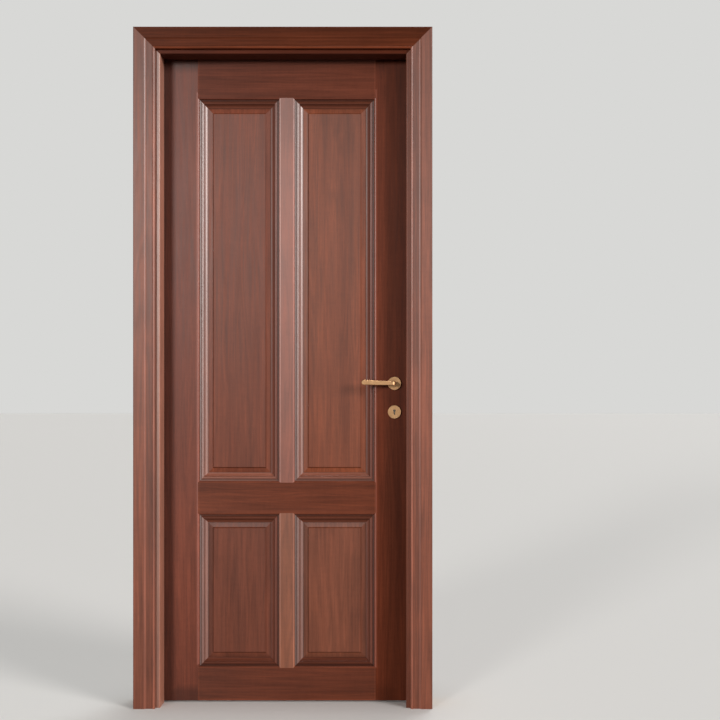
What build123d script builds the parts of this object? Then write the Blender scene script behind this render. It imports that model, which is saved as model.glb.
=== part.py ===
from build123d import *
import os
from math import sqrt

os.makedirs("parts", exist_ok=True)

# A four-panel veneered interior door leaf in its rebated lining, with moulded casings on both sides.
# Millimetres. X runs to the right as seen from the push side, Y away from that viewer, Z up.
# The origin is at floor level, in the middle of the set's width and overall depth.

# Doorway
clear_width = 792  # between the faces of the two stops
clear_height = 2104  # from the floor to the underside of the head's stop
lining_depth = 110  # the thickness of the wall that it lines
lining_thickness = 40
lining_arris = 4  # rounding of the lining's front inner edge
rebate_width = 15  # how far the rebate steps back from the stop's face
seal_space = 4  # between the stop and the closed leaf
lip = 14  # lining left showing between its edge and the front casing
back_lip = 8  # the same between the rebate and the back casing

# Seal in the stop
seal_inset = 5  # from the stop's inner edge to the seal's groove
seal_stem = 5
seal_stem_width = 3.8
seal_bulb_width = 9
seal_stand_off = 0.3  # between the seal and the closed leaf

# Casings
casing_reach = 84  # from the clear opening to the casing's outer edge
casing_thickness = 14
casing_bead = 9  # width of the bead along the inner edge
casing_bead_height = 13.6
casing_side_height = 9  # where the bead starts on the inner edge
casing_flat_height = 10.5  # the flat between the bead and the cove
casing_cove_start = 26
casing_cove_width = 9
casing_cove_height = 11  # at the middle of the cove
casing_outer_round = 3
tongue_thickness = 3.8
tongue_length = 9
tongue_inset = 8  # from the casing's inner edge
tongue_room = 1  # between a tongue's end and its groove's floor
joint_gap = 0.1  # all round a piece that is let into another
past = 1  # how far a shape that cuts or joins runs past the other's face

# Leaf
leaf_thickness = 44
leaf_gap = 3  # between the leaf's edges and the rebate
floor_gap = 5
leaf_arris = 1.5  # rounding of the leaf's upright outer edges
hinge_stile_width = 126.5
lock_stile_width = 116.5
mullion_width = 52
bottom_rail = 111.5
lock_rail = 110
top_rail = 141
lower_panel_height = 497.5
arris = 5  # rounding of the frame's edges round each panel

# Panels and their mouldings, as widths across the panel and depths below the leaf's face
panel_play = 2  # room for the panel to move inside its frame
moulding_width = 27
moulding_quirk = 5
moulding_quirk_depth = 7
moulding_bead = 10
moulding_bead_depth = 3.5
moulding_bead_side = 6  # depth of the bead's inner side
moulding_cove = (4.5, 11.6)  # a point on the cove: width past the bead, and depth
moulding_foot_depth = 14.5
panel_seat_depth = 16
bevel_width = 15  # from the moulding's foot to the raised field's step
bevel_rise = 2.5
step_width = 3.5
step_rise = 4

# Loose tenons that join rails, stiles and mullions
tenon_thickness = 12
tenon_reach = 38  # into each piece
tenon_inset = 20  # from a rail's edge to its tenon
tenon_width = 30  # of the mullions' tenons
mortise_room = 1  # at each end of a tenon

# Hinges
hinge_height = 100
hinge_plate_width = 28
hinge_plate_thickness = 2.5
hinge_end_distance = 245  # from each end of the leaf to the middle of a hinge
knuckle_radius = 7
knuckle_clearance = 1  # between the knuckle and the leaf's back face
pin_radius = 3.5
pin_cover = 3  # brass left over the pin's ends
running_gap = 0.05  # between the pin and the knuckle that turns on it
press_gap = 0.01
knuckle_gap = 0.1  # between the two knuckles of a hinge

# Lock
lever_height = 1044.5
key_drop = 93.5  # from the spindle down to the keyhole
backset = 50  # from the leaf's edge to the spindle
forend_length = 235
forend_width = 20
forend_thickness = 3
case_depth = 75  # from the forend's face
case_thickness = 15
case_wall = 1.5
case_above = 45  # from the spindle to the top of the case
case_below = 28  # from the keyhole to the bottom of the case
bolt_play = 0.2  # each side of a bolt in its case and windows
latch_rise = 22  # from the spindle up to the middle of the latch bolt
latch_height = 16
latch_throw = 11
latch_length = 34
deadbolt_height = 24
deadbolt_length = 30
deadbolt_throw = 13
follower_radius = 8
follower_arm = 16
hub_room = 2  # round the hub in the stile
follower_tip = 3
follower_play = 0.5  # between the arm's tip and the latch's hook
hook_thickness = 6
running_room = 1  # between the follower and what slides past it
latch_tip = 2  # thickness left at the end of the latch's bevel
tail_height = 8
tail_thickness = 5
tail_lift = 15  # from the keyhole's height up to the deadbolt's tail
tail_room = 6  # between the deadbolt's tail and the back of the case
notch_depth = 9  # in the deadbolt's tail, for the key's bit
keyhole_radius = 4
keyhole_slot = 5
keyhole_length = 13  # from the round eye's middle to the slot's end
key_clear_radius = 6.5

# Strike plate
strike_width = 24
strike_thickness = 2
strike_margin = 25  # of plate beyond the windows
window_play = 1
pocket_play = 3  # room behind the thrown bolts

# Handle
handle_projection = 51
spindle_side = 8
spindle_play = 0.05
spindle_reach = 34  # from the leaf's face into each lever
neck_radius = 9
neck_length = 9
stem_width = 13
neck_end_height = 12.5
grip_thickness = 9
grip_end_height = 16.5
grip_rise = 3  # how much higher the grip's tip is than its neck
grip_length = 107  # from the spindle's axis to the tip
bend_outer = 18
bend_inner = 6
stem_spare = 1.5  # of plan outside the stem's round side
lever_bevel = 1.5

# Roses
rose_radius = 22
rose_height = 8
rose_edge = 1
neck_play = 0.3
escutcheon_height = 6.5

# Holes for the screws that hold the linings to the wall
fixing_radius = 4
fixing_heights = (350, 1750)

# Places worked out from the sizes above
half_clear = clear_width / 2
front_y = casing_thickness - (casing_thickness + lining_depth + handle_projection) / 2
back_y = front_y + lining_depth
leaf_front = back_y - leaf_thickness
leaf_middle = (leaf_front + back_y) / 2
stop_y = leaf_front - seal_space
rebate_x = half_clear + rebate_width
leaf_half = rebate_x - leaf_gap
leaf_top = clear_height + rebate_width - leaf_gap
panels_left = hinge_stile_width - leaf_half
panels_right = leaf_half - lock_stile_width
panels_middle = (panels_left + panels_right) / 2
mullion_left = panels_middle - mullion_width / 2
mullion_right = panels_middle + mullion_width / 2
lower_bottom = floor_gap + bottom_rail
lower_top = lower_bottom + lower_panel_height
upper_bottom = lower_top + lock_rail
upper_top = leaf_top - top_rail
openings = {
    "upper_left": (panels_left, mullion_left, upper_bottom, upper_top),
    "upper_right": (mullion_right, panels_right, upper_bottom, upper_top),
    "lower_left": (panels_left, mullion_left, lower_bottom, lower_top),
    "lower_right": (mullion_right, panels_right, lower_bottom, lower_top),
}
faces = {"front": (leaf_front, 1), "back": (back_y, -1)}  # each face's depth and the way into the leaf
seam_left = panels_left - arris
seam_right = panels_right + arris
hinge_x = -(rebate_x - leaf_gap / 2)
hinge_y = back_y + knuckle_radius + knuckle_clearance
hinge_heights = {
    "bottom": floor_gap + hinge_end_distance,
    "middle": (floor_gap + leaf_top) / 2,
    "top": leaf_top - hinge_end_distance,
}
spindle_x = leaf_half - backset
key_height = lever_height - key_drop
deadbolt_z = (lever_height + key_height) / 2
case_front = leaf_half - forend_thickness
case_back = leaf_half - case_depth
case_top = lever_height + case_above
case_bottom = key_height - case_below
forend_z = (case_top + case_bottom) / 2
bolt_half = case_thickness / 2 - case_wall - bolt_play
latch_z = lever_height + latch_rise
strike_low = deadbolt_z - deadbolt_height / 2 - strike_margin
strike_high = latch_z + latch_height / 2 + strike_margin


# Shared shapes
def block(x_range, y_range, z_range):
    """A plain block between two corners."""
    size = [high - low for low, high in (x_range, y_range, z_range)]
    middle = [(high + low) / 2 for low, high in (x_range, y_range, z_range)]
    return Pos(*middle) * Box(*size)


def slab(points, y_low, y_high):
    """An outline of (x, z) points, made solid from one depth to the other."""
    face = make_face(Polyline(*[(x, y_low, z) for x, z in points], close=True))
    return extrude(face, amount=y_high - y_low, dir=(0, 1, 0))


def rod(radius, start, direction, length):
    """A round bar or hole that runs from a point."""
    place = Plane(origin=start, z_dir=direction)
    return place * Cylinder(radius, length, align=(Align.CENTER, Align.CENTER, Align.MIN))


def turned(points, start, direction):
    """A piece turned on a lathe, from (radius, height) points above its start."""
    face = make_face(Plane.XZ * Polyline(*points, close=True))
    return Plane(origin=start, z_dir=direction) * revolve(face, axis=Axis.Z)


# Lengths that run round the doorway
def surround_length(profile, side, outward, y_plane, proud):
    """One mitred length of a profile drawn as (outward, proud), for the left, the right or the head."""
    out = {"left": Vector(-1, 0, 0), "right": Vector(1, 0, 0), "head": Vector(0, 0, 1)}[side]
    run = Vector(1, 0, 0) if side == "head" else Vector(0, 0, 1)
    reach = casing_reach + lining_thickness
    far = half_clear + reach
    if side == "head":
        start = Vector(-far, y_plane, clear_height + outward)
        keep = [(-half_clear, clear_height), (half_clear, clear_height)]
        keep += [(far, clear_height + reach), (-far, clear_height + reach)]
        length = 2 * far
    else:
        turn = out.X
        start = Vector(turn * (half_clear + outward), y_plane, 0)
        keep = [(turn * half_clear, 0), (turn * half_clear, clear_height)]
        keep += [(turn * far, clear_height + reach), (turn * far, 0)]
        length = clear_height + reach
    place = Plane(origin=start, x_dir=out, z_dir=out.cross(Vector(0, proud, 0)))
    bar = extrude(place * profile, amount=length, dir=run)
    depth = 2 * lining_depth
    return bar & slab(keep, -depth, depth)


def lining_profile():
    """The rebated lining across its length, with its stop and the grooves for seal and casings."""
    stop = stop_y - front_y
    points = [(0, 0), (lining_thickness, 0), (lining_thickness, lining_depth)]
    points += [(rebate_width, lining_depth), (rebate_width, stop), (0, stop)]
    face = make_face(Polyline(*points, close=True))
    face = fillet(face.vertices().sort_by_distance((0, 0, 0))[0], lining_arris)
    groove_width = tongue_thickness + 2 * joint_gap
    for start, low in ((lip, 0), (rebate_width + back_lip, lining_depth - tongue_length - tongue_room)):
        corner = Pos(start + tongue_inset - joint_gap, low)
        face -= corner * Rectangle(groove_width, tongue_length + tongue_room, align=(Align.MIN, Align.MIN))
    seal_groove = Pos(seal_inset, stop - seal_stem) * Rectangle(
        seal_stem_width + 2 * joint_gap, seal_stem, align=(Align.MIN, Align.MIN)
    )
    return face - seal_groove


def casing_profile(width):
    """The casing across its length: bead, flat, cove and outer band, with a tongue behind."""
    cove_end = casing_cove_start + casing_cove_width
    cove_middle = (casing_cove_start + cove_end) / 2
    corner = casing_outer_round * (1 - sqrt(0.5))
    tongue_end = tongue_inset + tongue_thickness
    edges = [
        Line((0, 0), (0, casing_side_height)),
        ThreePointArc(
            (0, casing_side_height),
            (casing_bead / 2, casing_bead_height),
            (casing_bead, casing_flat_height),
        ),
        Line((casing_bead, casing_flat_height), (casing_cove_start, casing_flat_height)),
        ThreePointArc(
            (casing_cove_start, casing_flat_height),
            (cove_middle, casing_cove_height),
            (cove_end, casing_thickness),
        ),
        Line((cove_end, casing_thickness), (width - casing_outer_round, casing_thickness)),
        ThreePointArc(
            (width - casing_outer_round, casing_thickness),
            (width - corner, casing_thickness - corner),
            (width, casing_thickness - casing_outer_round),
        ),
        Polyline(
            (width, casing_thickness - casing_outer_round),
            (width, 0),
            (tongue_end, 0),
            (tongue_end, -tongue_length),
            (tongue_inset, -tongue_length),
            (tongue_inset, 0),
            (0, 0),
        ),
    ]
    return make_face(edges)


def frame_seal():
    """The rubber seal in the stop: a stem in the groove and a bulb that the leaf closes on."""
    stem_middle = seal_inset + joint_gap + seal_stem_width / 2
    reach = seal_bulb_width / 2
    top = (stem_middle, seal_space - seal_stand_off)
    ends = [(stem_middle - reach, 0), (stem_middle + reach, 0)]
    bulb = make_face([ThreePointArc(ends[0], top, ends[1]), Line(ends[1], ends[0])])
    stem = Pos(stem_middle, past - seal_stem / 2) * Rectangle(seal_stem_width, seal_stem)
    profile = bulb + stem
    lengths = [surround_length(profile, side, 0, stop_y, 1) for side in ("left", "head", "right")]
    return lengths[0] + lengths[1] + lengths[2]


# Hinges
def hinge_plate(outer_x, inner_x, z_middle, grow=0):
    """One hinge leaf, flush in the edge that it is let into."""
    half = hinge_height / 2 + grow
    return block(
        (outer_x, inner_x),
        (back_y - hinge_plate_width - grow, back_y + grow),
        (z_middle - half, z_middle + half),
    )


def knuckle(z_low, z_high, plate_outer, plate_inner):
    """A knuckle with the strap that joins it to its plate."""
    barrel = rod(knuckle_radius, (hinge_x, hinge_y, z_low), (0, 0, 1), z_high - z_low)
    strap = block((plate_outer, plate_inner), (back_y - past, hinge_y), (z_low, z_high))
    return barrel + strap


def pin_hole(z_middle, play):
    """The blind hole for a hinge's pin, through both knuckles."""
    half = hinge_height / 2 - pin_cover
    return rod(pin_radius + play, (hinge_x, hinge_y, z_middle - half), (0, 0, 1), 2 * half)


def hinge_frame_half(z_middle):
    """The half that is fixed to the lining; its knuckle is the lower one and holds the pin."""
    outer, inner = -rebate_x - hinge_plate_thickness, -rebate_x
    low, high = z_middle - hinge_height / 2, z_middle - knuckle_gap / 2
    half = hinge_plate(outer, inner, z_middle) + knuckle(low, high, outer, inner)
    return half - pin_hole(z_middle, press_gap)


def hinge_leaf_half(z_middle):
    """The half that is fixed to the leaf; its knuckle is the upper one and lifts off the pin."""
    outer, inner = -leaf_half, -leaf_half + hinge_plate_thickness
    low, high = z_middle + knuckle_gap / 2, z_middle + hinge_height / 2
    half = hinge_plate(outer, inner, z_middle) + knuckle(low, high, outer, inner)
    return half - pin_hole(z_middle, running_gap)


def hinge_pin(z_middle):
    """The plain pin that the upper knuckle turns on."""
    low = z_middle - hinge_height / 2 + pin_cover
    return rod(pin_radius, (hinge_x, hinge_y, low), (0, 0, 1), hinge_height - 3 * pin_cover)


# Linings
def fixing_holes(turn):
    """Clearance holes in the rebate for the screws that hold a lining to the wall."""
    start_x = turn * (rebate_x - past)
    return [
        rod(fixing_radius, (start_x, leaf_middle, z), (turn, 0, 0), lining_thickness)
        for z in fixing_heights
    ]


def jamb_hinge_side():
    """The hinge-side lining, with the recesses for three hinges."""
    jamb = surround_length(lining_profile(), "left", 0, front_y, 1)
    for z in hinge_heights.values():
        jamb -= hinge_plate(-rebate_x - hinge_plate_thickness, -rebate_x + past, z, joint_gap)
    for hole in fixing_holes(-1):
        jamb -= hole
    return jamb


def strike_windows(x_low, x_high, play):
    """The two windows that the thrown bolts enter."""
    depth = (leaf_middle - bolt_half - play, leaf_middle + bolt_half + play)
    windows = []
    for z, height in ((latch_z, latch_height), (deadbolt_z, deadbolt_height)):
        windows.append(block((x_low, x_high), depth, (z - height / 2 - play, z + height / 2 + play)))
    return windows


def strike_outline(x_low, x_high, grow=0):
    """The strike plate without its windows."""
    half = strike_width / 2 + grow
    y_range = (leaf_middle - half, leaf_middle + half)
    return block((x_low, x_high), y_range, (strike_low - grow, strike_high + grow))


def strike_plate():
    """The plate that the bolts close into, flush in the lock-side rebate."""
    plate = strike_outline(rebate_x, rebate_x + strike_thickness)
    for window in strike_windows(rebate_x - past, rebate_x + strike_thickness + past, window_play):
        plate -= window
    return plate


def jamb_lock_side():
    """The lock-side lining, with the strike plate's recess and the pockets behind it."""
    jamb = surround_length(lining_profile(), "right", 0, front_y, 1)
    jamb -= strike_outline(rebate_x - past, rebate_x + strike_thickness, joint_gap)
    pocket_end = leaf_half + deadbolt_throw + pocket_play
    for pocket in strike_windows(rebate_x, pocket_end, window_play):
        jamb -= pocket
    for hole in fixing_holes(1):
        jamb -= hole
    return jamb


# Leaf frame
def leaf_blank():
    """The leaf's whole frame before it is parted at its seams, with every arris rounded."""
    blank = block((-leaf_half, leaf_half), (leaf_front, back_y), (floor_gap, leaf_top))
    blank = fillet(blank.edges().filter_by(Axis.Z), leaf_arris)
    for x_low, x_high, z_low, z_high in openings.values():
        blank -= block((x_low, x_high), (leaf_front - past, back_y + past), (z_low, z_high))
    rims = [
        edge
        for edge in blank.edges()
        if min(abs(edge.center().Y - leaf_front), abs(edge.center().Y - back_y)) < 0.01
        and panels_left - past < edge.center().X < panels_right + past
        and floor_gap + past < edge.center().Z < leaf_top - past
    ]
    return fillet(rims, arris)


def member(blank, outline):
    """The piece of the frame inside an outline of seams."""
    return blank & slab(outline, leaf_front - past, back_y + past)


def stile_outline(outer, seam, edge):
    """A stile from end to end, with the rounded edge of each opening mitred at its corners."""
    points = [(outer, floor_gap - past), (seam, floor_gap - past)]
    for z_low, z_high in ((lower_bottom, lower_top), (upper_bottom, upper_top)):
        points += [(seam, z_low - arris), (edge, z_low), (edge, z_high), (seam, z_high + arris)]
    return points + [(seam, leaf_top + past), (outer, leaf_top + past)]


def rail_edge(z, outward):
    """A rail's edge along two openings, from left to right; it steps back where the mullion meets it."""
    back = z + outward * arris
    points = []
    for x_low, x_high in ((panels_left, mullion_left), (mullion_right, panels_right)):
        points += [(x_low - arris, back), (x_low, z), (x_high, z), (x_high + arris, back)]
    return points


def mullion_outline(z_low, z_high):
    """A mullion, whose flat runs into the rails by the width of their rounded edges."""
    points = []
    for edge, flat in ((mullion_left, mullion_left + arris), (mullion_right, mullion_right - arris)):
        side = [(flat, z_low - arris), (edge, z_low), (edge, z_high), (flat, z_high + arris)]
        points = points[::-1] + side
    return points


def tenons(grow=0, room=0):
    """Every loose tenon, or its mortise when it is grown and given room at its ends."""
    half = tenon_thickness / 2 + grow
    y_range = (leaf_middle - half, leaf_middle + half)
    reach = tenon_reach + room
    rails = [
        (floor_gap, lower_bottom - arris),
        (lower_top + arris, upper_bottom - arris),
        (upper_top + arris, leaf_top),
    ]
    solids = []
    for z_low, z_high in rails:
        z_range = (z_low + tenon_inset - grow, z_high - tenon_inset + grow)
        for seam in (seam_left, seam_right):
            solids.append(block((seam - reach, seam + reach), y_range, z_range))
    half = tenon_width / 2 + grow
    for z in (lower_bottom - arris, lower_top + arris, upper_bottom - arris, upper_top + arris):
        x_range = (panels_middle - half, panels_middle + half)
        solids.append(block(x_range, y_range, (z - reach, z + reach)))
    return solids


def mortised(piece):
    """The piece with each mortise that reaches it."""
    box = piece.bounding_box()
    for mortise in tenons(running_gap, mortise_room):
        reach = mortise.bounding_box()
        apart = reach.max.X < box.min.X or reach.min.X > box.max.X
        apart = apart or reach.max.Z < box.min.Z or reach.min.Z > box.max.Z
        if not apart:
            piece = piece - mortise
    return piece


# Panels
def panel_section(low, high):
    """A panel's outline across its opening, as (place, y): raised and fielded on both faces."""
    step = moulding_width + bevel_width
    layers = [
        (panel_play, panel_seat_depth),
        (moulding_width, panel_seat_depth),
        (step, panel_seat_depth - bevel_rise),
        (step + step_width, panel_seat_depth - bevel_rise - step_rise),
    ]
    sides = []
    for face_y, inward in faces.values():
        near = [(low + inset, face_y + inward * depth) for inset, depth in layers]
        far = [(high - inset, face_y + inward * depth) for inset, depth in reversed(layers)]
        sides.append(near + far)
    return sides[0] + sides[1][::-1]


def panel(opening):
    """A solid panel: its two sections cross, which mitres the bevels at the corners."""
    x_low, x_high, z_low, z_high = opening
    across = make_face(Polyline(*[(x, y, z_low) for x, y in panel_section(x_low, x_high)], close=True))
    upright = make_face(Polyline(*[(x_low, y, z) for z, y in panel_section(z_low, z_high)], close=True))
    return extrude(across, amount=z_high - z_low, dir=(0, 0, 1)) & extrude(
        upright, amount=x_high - x_low, dir=(1, 0, 0)
    )


def moulding_profile():
    """The panel moulding as (width, depth): a quirk, a bead and a cove that falls to the panel."""
    quirk_end = (moulding_quirk, moulding_quirk_depth)
    bead_top = (moulding_quirk + moulding_bead / 2, moulding_bead_depth)
    bead_end = (moulding_quirk + moulding_bead, moulding_bead_side)
    cove_middle = (bead_end[0] + moulding_cove[0], moulding_cove[1])
    foot = (moulding_width, moulding_foot_depth)
    back = [(moulding_width, panel_seat_depth), (0, panel_seat_depth), (0, moulding_quirk_depth)]
    return make_face([
        Polyline(foot, *back, quirk_end),
        ThreePointArc(quirk_end, bead_top, bead_end),
        ThreePointArc(bead_end, cove_middle, foot),
    ])


def panel_moulding(opening, face_y, inward):
    """The moulding round one face of a panel: four mitred lengths glued into one frame."""
    x_low, x_high, z_low, z_high = opening
    profile = moulding_profile()
    width = moulding_width
    up, right, out = Vector(0, 0, 1), Vector(1, 0, 0), Vector(0, inward, 0)
    sides = [
        (Vector(x_low, face_y, z_low), right, up, z_high - z_low),
        (Vector(x_high, face_y, z_low), -right, up, z_high - z_low),
        (Vector(x_low, face_y, z_low), up, right, x_high - x_low),
        (Vector(x_low, face_y, z_high), -up, right, x_high - x_low),
    ]
    frame = Part()
    for start, across, along, length in sides:
        place = Plane(origin=start, x_dir=across, z_dir=across.cross(out))
        bar = extrude(place * profile, amount=length, dir=along)
        corners = [start, start + (across + along) * width]
        corners += [start + across * width + along * (length - width), start + along * length]
        frame += bar & slab([(corner.X, corner.Z) for corner in corners], leaf_front - past, back_y + past)
    return frame


# Lock
def keyhole(y_low, y_high, grow=0):
    """A keyhole: a round eye over a slot."""
    eye_z = key_height + keyhole_radius
    eye = rod(keyhole_radius + grow, (spindle_x, y_low, eye_z), (0, 1, 0), y_high - y_low)
    half = keyhole_slot / 2 + grow
    slot_end = eye_z - keyhole_length - grow
    slot = block((spindle_x - half, spindle_x + half), (y_low, y_high), (slot_end, eye_z))
    return eye + slot


def lock_case():
    """The pressed steel case, open towards the forend."""
    half = case_thickness / 2
    case = block((case_back, case_front), (leaf_middle - half, leaf_middle + half), (case_bottom, case_top))
    inner = half - case_wall
    case -= block(
        (case_back + case_wall, case_front + past),
        (leaf_middle - inner, leaf_middle + inner),
        (case_bottom + case_wall, case_top - case_wall),
    )
    low, high = leaf_middle - half - past, leaf_middle + half + past
    case -= rod(follower_radius + running_gap, (spindle_x, low, lever_height), (0, 1, 0), high - low)
    return case - keyhole(low, high)


def forend_outline(x_low, x_high, grow=0):
    """The forend without its windows."""
    half = forend_width / 2 + grow
    reach = forend_length / 2 + grow
    y_range = (leaf_middle - half, leaf_middle + half)
    return block((x_low, x_high), y_range, (forend_z - reach, forend_z + reach))


def lock_forend():
    """The brass strip in the leaf's edge that the bolts pass through."""
    forend = forend_outline(case_front, leaf_half)
    depth = (leaf_middle - bolt_half - bolt_play, leaf_middle + bolt_half + bolt_play)
    for z, height in ((latch_z, latch_height), (deadbolt_z, deadbolt_height)):
        z_range = (z - height / 2 - bolt_play, z + height / 2 + bolt_play)
        forend -= block((case_front - past, leaf_half + past), depth, z_range)
    return forend


def latch_bolt():
    """The sprung bolt, bevelled on its closing side, with a hook behind the follower's arm."""
    tip = leaf_half + latch_throw
    back = leaf_half + latch_throw - latch_length
    low, high = leaf_middle - bolt_half, leaf_middle + bolt_half
    outline = [(back, low), (leaf_half, low), (tip, high - latch_tip), (tip, high), (back, high)]
    face = make_face(Polyline(*[(x, y, latch_z - latch_height / 2) for x, y in outline], close=True))
    head = extrude(face, amount=latch_height, dir=(0, 0, 1))
    hook_face = spindle_x - follower_tip - follower_play
    hook_back = hook_face - hook_thickness
    tail_low = lever_height + follower_arm + follower_tip + running_room
    thick = (leaf_middle - tail_thickness / 2, leaf_middle + tail_thickness / 2)
    tail = block((hook_back, back + past), thick, (tail_low, tail_low + tail_height))
    hook_low = lever_height + follower_radius + running_room
    hook = block((hook_back, hook_face), thick, (hook_low, tail_low + past))
    return head + tail + hook


def follower():
    """The hub that the spindle turns, with an arm that draws the latch."""
    low = leaf_middle - case_thickness / 2
    hub = rod(follower_radius, (spindle_x, low, lever_height), (0, 1, 0), case_thickness)
    thick = tail_thickness / 2
    arm = block(
        (spindle_x - follower_tip, spindle_x + follower_tip),
        (leaf_middle - thick, leaf_middle + thick),
        (lever_height, lever_height + follower_arm),
    )
    tip_start = (spindle_x, leaf_middle - thick, lever_height + follower_arm)
    tip = rod(follower_tip, tip_start, (0, 1, 0), 2 * thick)
    half = spindle_side / 2 + spindle_play
    square = block(
        (spindle_x - half, spindle_x + half),
        (low - past, low + case_thickness + past),
        (lever_height - half, lever_height + half),
    )
    return hub + arm + tip - square


def deadbolt():
    """The bolt that the key throws, with a notched tail over the keyhole."""
    back = leaf_half - deadbolt_length
    low, high = leaf_middle - bolt_half, leaf_middle + bolt_half
    half = deadbolt_height / 2
    head = block((back, leaf_half), (low, high), (deadbolt_z - half, deadbolt_z + half))
    tail_back = case_back + case_wall + tail_room
    tail_bottom = key_height + tail_lift
    thick = tail_thickness / 2
    tail = block(
        (tail_back, back + past),
        (leaf_middle - thick, leaf_middle + thick),
        (tail_bottom, deadbolt_z + half),
    )
    notch = block(
        (spindle_x - keyhole_slot, spindle_x + keyhole_slot),
        (low, high),
        (tail_bottom - past, tail_bottom + notch_depth),
    )
    return head + tail - notch


def stile_lock_cuts(stile):
    """Mortise, forend recess, and the holes for spindle and key in the lock stile."""
    half = case_thickness / 2 + joint_gap
    stile -= block(
        (case_back - joint_gap, leaf_half + past),
        (leaf_middle - half, leaf_middle + half),
        (case_bottom - joint_gap, case_top + joint_gap),
    )
    stile -= forend_outline(case_front, leaf_half + past, joint_gap)
    start = (spindle_x, leaf_front - past, lever_height)
    stile -= rod(follower_radius + hub_room, start, (0, 1, 0), leaf_thickness + 2)
    stile -= keyhole(leaf_front - past, back_y + past, key_clear_radius - keyhole_radius)
    return stile


# Roses and escutcheons
def rosette(face_y, inward):
    """The ring that the lever's neck turns in, with a bevelled rim."""
    bore = neck_radius + neck_play
    rim = [(rose_radius, 0), (rose_radius, rose_height - rose_edge), (rose_radius - rose_edge, rose_height)]
    start = (spindle_x, face_y, lever_height)
    return turned(rim + [(bore, rose_height), (bore, 0)], start, (0, -inward, 0))


def escutcheon(face_y, inward):
    """The disc over the keyhole, with a bevelled rim."""
    top = escutcheon_height
    rim = [(rose_radius, 0), (rose_radius, top - rose_edge), (rose_radius - rose_edge, top)]
    whole = turned([(0, 0)] + rim + [(0, top)], (spindle_x, face_y, key_height), (0, -inward, 0))
    low, high = sorted((face_y - inward * (top + past), face_y + inward * past))
    return whole - keyhole(low, high)


# Handle
def lever(face_y, inward):
    """A slim brass lever: its plan and its front view cut together, bevelled, on a round neck."""
    centre = (spindle_x, face_y, lever_height)
    outer, inner = handle_projection, handle_projection - grip_thickness
    left, right = -stem_width / 2 - stem_spare, stem_width / 2
    start = neck_length - past
    tip = grip_length + past
    plan = make_face([
        Polyline((right, inner - bend_inner), (right, start), (left, start), (left, outer - bend_outer)),
        RadiusArc((left, outer - bend_outer), (left + bend_outer, outer), bend_outer),
        Polyline((left + bend_outer, outer), (tip, outer), (tip, inner), (right + bend_inner, inner)),
        RadiusArc((right + bend_inner, inner), (right, inner - bend_inner), -bend_inner),
    ])
    plan_place = Plane(origin=centre, x_dir=(-1, 0, 0), z_dir=(0, 0, inward))
    tip_place = Pos(grip_length - grip_end_height / 2, grip_rise)
    front = make_hull([Circle(neck_end_height / 2).edge(), (tip_place * Circle(grip_end_height / 2)).edge()])
    front_place = Plane(origin=centre, x_dir=(-1, 0, 0), z_dir=(0, 1, 0))
    bar = extrude(plan_place * plan, amount=grip_end_height, both=True)
    bar &= extrude(front_place * front, amount=2 * outer, both=True)
    root_y = face_y - inward * start
    bar = chamfer([edge for edge in bar.edges() if abs(edge.center().Y - root_y) > past / 2], lever_bevel)
    neck = rod(neck_radius, (spindle_x, face_y - inward * past, lever_height), (0, -inward, 0), neck_length)
    half = spindle_side / 2 + spindle_play
    low, high = sorted((face_y, face_y - inward * (spindle_reach + past)))
    socket = block(
        (spindle_x - half, spindle_x + half),
        (low, high),
        (lever_height - half, lever_height + half),
    )
    return bar + neck - socket


def spindle():
    """The square bar through the lock."""
    half = spindle_side / 2
    return block(
        (spindle_x - half, spindle_x + half),
        (leaf_front - spindle_reach, back_y + spindle_reach),
        (lever_height - half, lever_height + half),
    )


# Assembly
nodes = {}


def keep(name, solids):
    """Stores a piece, or a group of like pieces, under its name."""
    nodes[name] = solids if isinstance(solids, list) else [solids]


def make_frame():
    """Linings, casings, seal, strike plate and the frame's half of each hinge."""
    keep("jamb_hinge_side", jamb_hinge_side())
    keep("jamb_lock_side", jamb_lock_side())
    keep("head_jamb", surround_length(lining_profile(), "head", 0, front_y, 1))
    back_start = rebate_width + back_lip
    for side in ("left", "right", "head"):
        front = casing_profile(casing_reach - lip)
        back = casing_profile(casing_reach - back_start)
        keep(f"casing_front_{side}", surround_length(front, side, lip, front_y, -1))
        keep(f"casing_back_{side}", surround_length(back, side, back_start, back_y, 1))
    keep("frame_seal", frame_seal())
    keep("strike_plate", strike_plate())
    for name, z in hinge_heights.items():
        keep(f"hinge_frame_half_{name}", hinge_frame_half(z))
    keep("hinge_pins", [hinge_pin(z) for z in hinge_heights.values()])


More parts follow.
